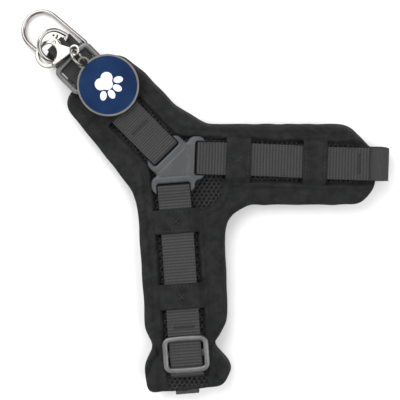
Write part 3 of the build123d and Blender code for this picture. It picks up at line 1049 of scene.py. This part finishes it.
def box_shape(line, at, across, half_along, half_across, low, high):
    """A block aligned with a strap, with small chamfers around its upright edges and faces."""
    cut = 0.25
    shape = Shape()
    rings = []
    for height, inset in ((low, cut), (low + cut, 0), (high - cut, 0), (high, cut)):
        ring = []
        for sx, sy in ((1, 1), (-1, 1), (-1, -1), (1, -1)):
            long, wide = half_along - inset, half_across - inset
            pair = [(sx * long, sy * (wide - cut)), (sx * (long - cut), sy * wide)]
            for a, c in (pair if sx * sy > 0 else pair[::-1]):
                ring.append((*from_strap(line, at + a, across + c), height))
        rings.append(ring)
    n = len(rings[0])
    faces = []
    for k in range(len(rings) - 1):
        for i in range(n):
            j = (i + 1) % n
            faces.append([k * n + i, k * n + j, (k + 1) * n + j, (k + 1) * n + i])
    faces.append(list(range(n))[::-1])
    faces.append([(len(rings) - 1) * n + i for i in range(n)])
    return shape.add([p for ring in rings for p in ring], faces)


for name, (half, line, at) in sliders.items():
    shape = slider_shape(line, at)
    slider = make_piece(f"{name}_frame", shape, half, name, satin, crease_angle=40)
    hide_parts(name)

# ---- stitches ----
hem_thread = 0.16
tack_thread = 0.17
cross_thread = 0.22
hem_inset = 1.6
hem_reach = 9.8
tack_height = upper_web + webbing_thickness / 2 - 0.08
tacks = ((back_line, 24.0), (girth_line, 100.0), (chest_line, 88.0))


def stitch_row(route, spacing, length, radius, height):
    """Short raised stitches along a plan polyline on a face at the height."""
    shape = Shape()
    route = np.asarray(route, float)
    seg = np.hypot(*np.diff(route, axis=0).T)
    at = np.concatenate([[0], np.cumsum(seg)])
    for start in np.arange(spacing / 2, at[-1] - length, spacing):
        spots = start + length * np.linspace(0, 1, 5)
        x = np.interp(spots, at, route[:, 0])
        y = np.interp(spots, at, route[:, 1])
        h = height + radius * np.array([-1.0, 0.5, 0.8, 0.5, -1.0])
        rod = tube_shape(np.stack([x, y, h], axis=1), radius, 6)
        shape.join(rod)
    return shape


def tack_shape(line, along, across_reach, along_reach, rows, height):
    """A dense zigzag bar tack across a strap."""
    shape = Shape()
    count = rows * 10
    points = []
    for k in range(count + 1):
        t = k / count
        zig = along_reach * (1 if k % 2 else -1)
        lift = 0.1 if k % 2 else 0.0
        points.append((*from_strap(line, along + zig, across_reach * (2 * t - 1)), height + lift))
    for a, b in zip(points, points[1:]):
        middle = (np.array(a) + np.array(b)) / 2 + (0, 0, 0.12)
        shape.join(tube_shape([a, middle, b], tack_thread, 6))
    return shape


def cross_shape(line, along, reach, height):
    """A small sewn x."""
    shape = Shape()
    for sign in (1, -1):
        route = []
        for t in np.linspace(-1, 1, 9):
            route.append((*from_strap(line, along + reach * t, sign * reach * t), height))
        shape.join(tube_shape(route, cross_thread, 6))
    return shape


for half in ("near", "far"):
    sewing = Shape()
    for name, (line, start, width) in keepers.items():
        for side in (-1, 1):
            hem = start + (hem_inset if side < 0 else width - hem_inset)
            route = [from_strap(line, hem, c) for c in np.linspace(-hem_reach, hem_reach, 12)]
            sewing.join(stitch_row(route, 2.4, 1.7, hem_thread, keeper_face - 0.02))
        if name != "girth_keeper_outer":
            sewing.join(cross_shape(line, start + width / 2, 1.9, keeper_face + 0.02))
    for line, along in tacks:
        sewing.join(tack_shape(line, along, 6.5, 1.2, 3, tack_height))
    make_piece(f"{half}_sewing", sewing, half, f"{half}_half", thread)

# ---- cast and folded metal ----
def cast_piece(node, body, material, voxel, rounds):
    """A CAD node with its edges rounded off, as die casting leaves them."""
    piece = bpy.data.objects.new(f"{node}_cast", nodes[node].data.copy())
    link(piece)
    remesh = piece.modifiers.new("skin", "REMESH")
    remesh.mode = "VOXEL"
    remesh.voxel_size = voxel * MM
    smooth = piece.modifiers.new("round", "SMOOTH")
    smooth.factor = 0.5
    smooth.iterations = rounds
    apply_modifiers(piece)
    piece.data.shade_smooth()
    paint(piece.data, material)
    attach(piece, body)
    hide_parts(node)


cast_piece("clasp_body", "clasp", chrome, 0.22, 7)
cast_piece("clasp_gate", "clasp_gate", chrome, 0.2, 6)

# ---- folds that join the halves ----
blend_half = 4.0  # the fold bends over this height on each side of the fold plane


def fold_piece(name, along_points, section, material, uvs=None):
    """A strip swept along plan points; section(k) gives (outward, height) pairs; above the fold plane it
    takes the near half's shift, below it the far half's place.
    """
    along_points = np.asarray(along_points, float)
    ahead = np.gradient(along_points, axis=0)
    ahead /= np.hypot(*ahead.T)[:, None]
    outward = np.stack([ahead[:, 1], -ahead[:, 0]], axis=1)

    def ring(k):
        pairs = np.asarray(section(k), float)
        share = smooth_step(-blend_half, blend_half, pairs[:, 1])
        x = along_points[k, 0] + pairs[:, 0] * outward[k, 0] + near_shift[0] * (share - 1)
        y = along_points[k, 1] + pairs[:, 0] * outward[k, 1] + near_shift[1] * (share - 1)
        return np.stack([x, y, pairs[:, 1]], axis=1)

    shape = sweep_shape(len(along_points), ring, closed_path=False)
    if uvs is not None:
        shape.uvs = np.array([uvs(k, i) for k in range(len(along_points)) for i in range(len(ring(0)))])
    piece = make_piece(name, shape, "near", None, material)
    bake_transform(piece)


def folded_section(reach, half_height, bulge, thickness):
    """A flat strip turned round an edge: the outer and the inner line of a squared U."""

    def turned(edge, high, corner):
        upper = arc((edge - corner, high - corner), corner, 90, 0, 10)
        lower = arc((edge - corner, corner - high), corner, 0, -90, 10)
        return [(-reach, high), *map(tuple, upper), *map(tuple, lower), (-reach, -high)]

    corner = min(1.4, half_height * 0.8)
    outer = turned(bulge, half_height, corner)
    inner = turned(bulge - thickness, half_height - thickness, max(corner - thickness, 0.2))
    return outer + inner[::-1]


girth_end = strap_length(girth_line)
girth_across = np.linspace(-10.0, 10.0, 33)
girth_section = folded_section(10.5, 7.75, 0.9, 0.55)
smooth_webbing = webbing_material("smooth_webbing", 0.8)
fold_piece(
    "girth_fold", [from_strap(girth_line, girth_end, c) for c in girth_across], lambda k: girth_section,
    smooth_webbing, uvs=lambda k, i: (sum(girth_section[i]), girth_across[k]),
)

fold_left = (-13.0, -139.5)
fold_right = (22.5, -136.1)
chest_edge = [
    (
        fold_left[0] + t * (fold_right[0] - fold_left[0]),
        fold_left[1] + t * (fold_right[1] - fold_left[1]) + 0.5 * sin(9 * t) + 0.3 * sin(23 * t),
    )
    for t in np.linspace(0, 1, 60)
]


def chest_section(k):
    """The pad's turned edge; towards the lobes it slips back between the halves."""
    t = k / (len(chest_edge) - 1)
    rounded = 1 - (2 * t - 1) ** 6
    return folded_section(2.6, 2.3 + 0.2 * sin(k * 0.9), 0.9 - 2.4 * (1 - rounded), 0.8)


fold_piece("chest_fold", chest_edge, chest_section, suede)
lip_edge = [(x, -140.0 + 0.08 * x) for x in np.linspace(-1.0, 13.0, 24)]
fold_piece(
    "chest_strap_fold", lip_edge, lambda k: folded_section(5.0, 1.3, 1.9, 1.1), smooth_webbing,
    uvs=lambda k, i: (0.4 * i, lip_edge[k][0]),
)

# ---- kept CAD nodes ----
for half in ("near", "far"):
    paint(nodes[f"{half}_lining"].data, lining_cloth)
for name, finish in {
    "near_small_d_ring": chrome,
    "far_large_d_ring": chrome,
    "clasp_gate_pin": chrome,
    "clasp_spring": spring_steel,
    "jump_ring": chrome,
    "tag_plate": chrome,
    "tag_enamel": navy,
    "tag_paw_print": white,
}.items():
    paint(nodes[name].data, finish)

# ---- floor, light, camera ----
def stage_material():
    n = Nodes("floor")
    paper = n.noise(30.0, 3.0)
    colour = n.ramp(paper, (0.3, grey(0.86)), (0.7, grey(0.9)))
    return n.finish(Base_Color=colour, Roughness=n.remap(paper, 0.7, 0.85))


floor_mesh = bpy.data.meshes.new("floor")
reach = 6.0
corners = [(-reach, -reach, 0), (reach, -reach, 0), (reach, reach, 0), (-reach, reach, 0)]
floor_mesh.from_pydata(corners, [], [(0, 1, 2, 3)])
floor = bpy.data.objects.new("floor", floor_mesh)
floor.location.z = cad_box[0][2] - 0.0003
floor_mesh.materials.append(stage_material())
link(floor)

view_center = Vector((13.23, -22.85, 0)) * MM
view_width = 0.244


def area_light(name, place, size, power):
    light = bpy.data.lights.new(name, "AREA")
    light.shape = "DISK"
    light.size = size
    light.energy = power
    lamp = bpy.data.objects.new(name, light)
    lamp.location = view_center + Vector(place)
    lamp.rotation_euler = (-Vector(place)).to_track_quat("-Z", "Y").to_euler()
    link(lamp)


area_light("key", (-0.65, 0.85, 0.9), 1.6, 24.0)
area_light("fill", (0.9, -0.3, 0.9), 1.4, 13.0)
area_light("low", (-0.9, -0.8, 0.6), 1.1, 6.0)

world = bpy.data.worlds.new("studio")
world.use_nodes = True
bpy.context.scene.world = world
sky = world.node_tree
background = sky.nodes["Background"]
background.inputs["Strength"].default_value = 1.0
direction = sky.nodes.new("ShaderNodeTexCoord").outputs["Generated"]
split = sky.nodes.new("ShaderNodeSeparateXYZ")
sky.links.new(direction, split.inputs[0])
shade = sky.nodes.new("ShaderNodeValToRGB")
sky.links.new(split.outputs["Z"], shade.inputs["Fac"])
for element, (position, value) in zip(
    [shade.color_ramp.elements[0], shade.color_ramp.elements.new(0.6), shade.color_ramp.elements[-1]],
    ((0.2, 0.03), (0.6, 0.4), (1.0, 0.72)),
):
    element.position = position
    element.color = (value, value, value * 1.01, 1.0)
sky.links.new(shade.outputs["Color"], background.inputs["Color"])

lens = bpy.data.cameras.new("camera")
lens.lens = 85
lens.sensor_width = 36
lens.clip_start = 0.01
camera = bpy.data.objects.new("camera", lens)
camera.location = view_center + Vector((0, 0, view_width * lens.lens / lens.sensor_width + 0.016))
link(camera)
bpy.context.scene.camera = camera

bpy.context.scene.view_settings.view_transform = "Standard"
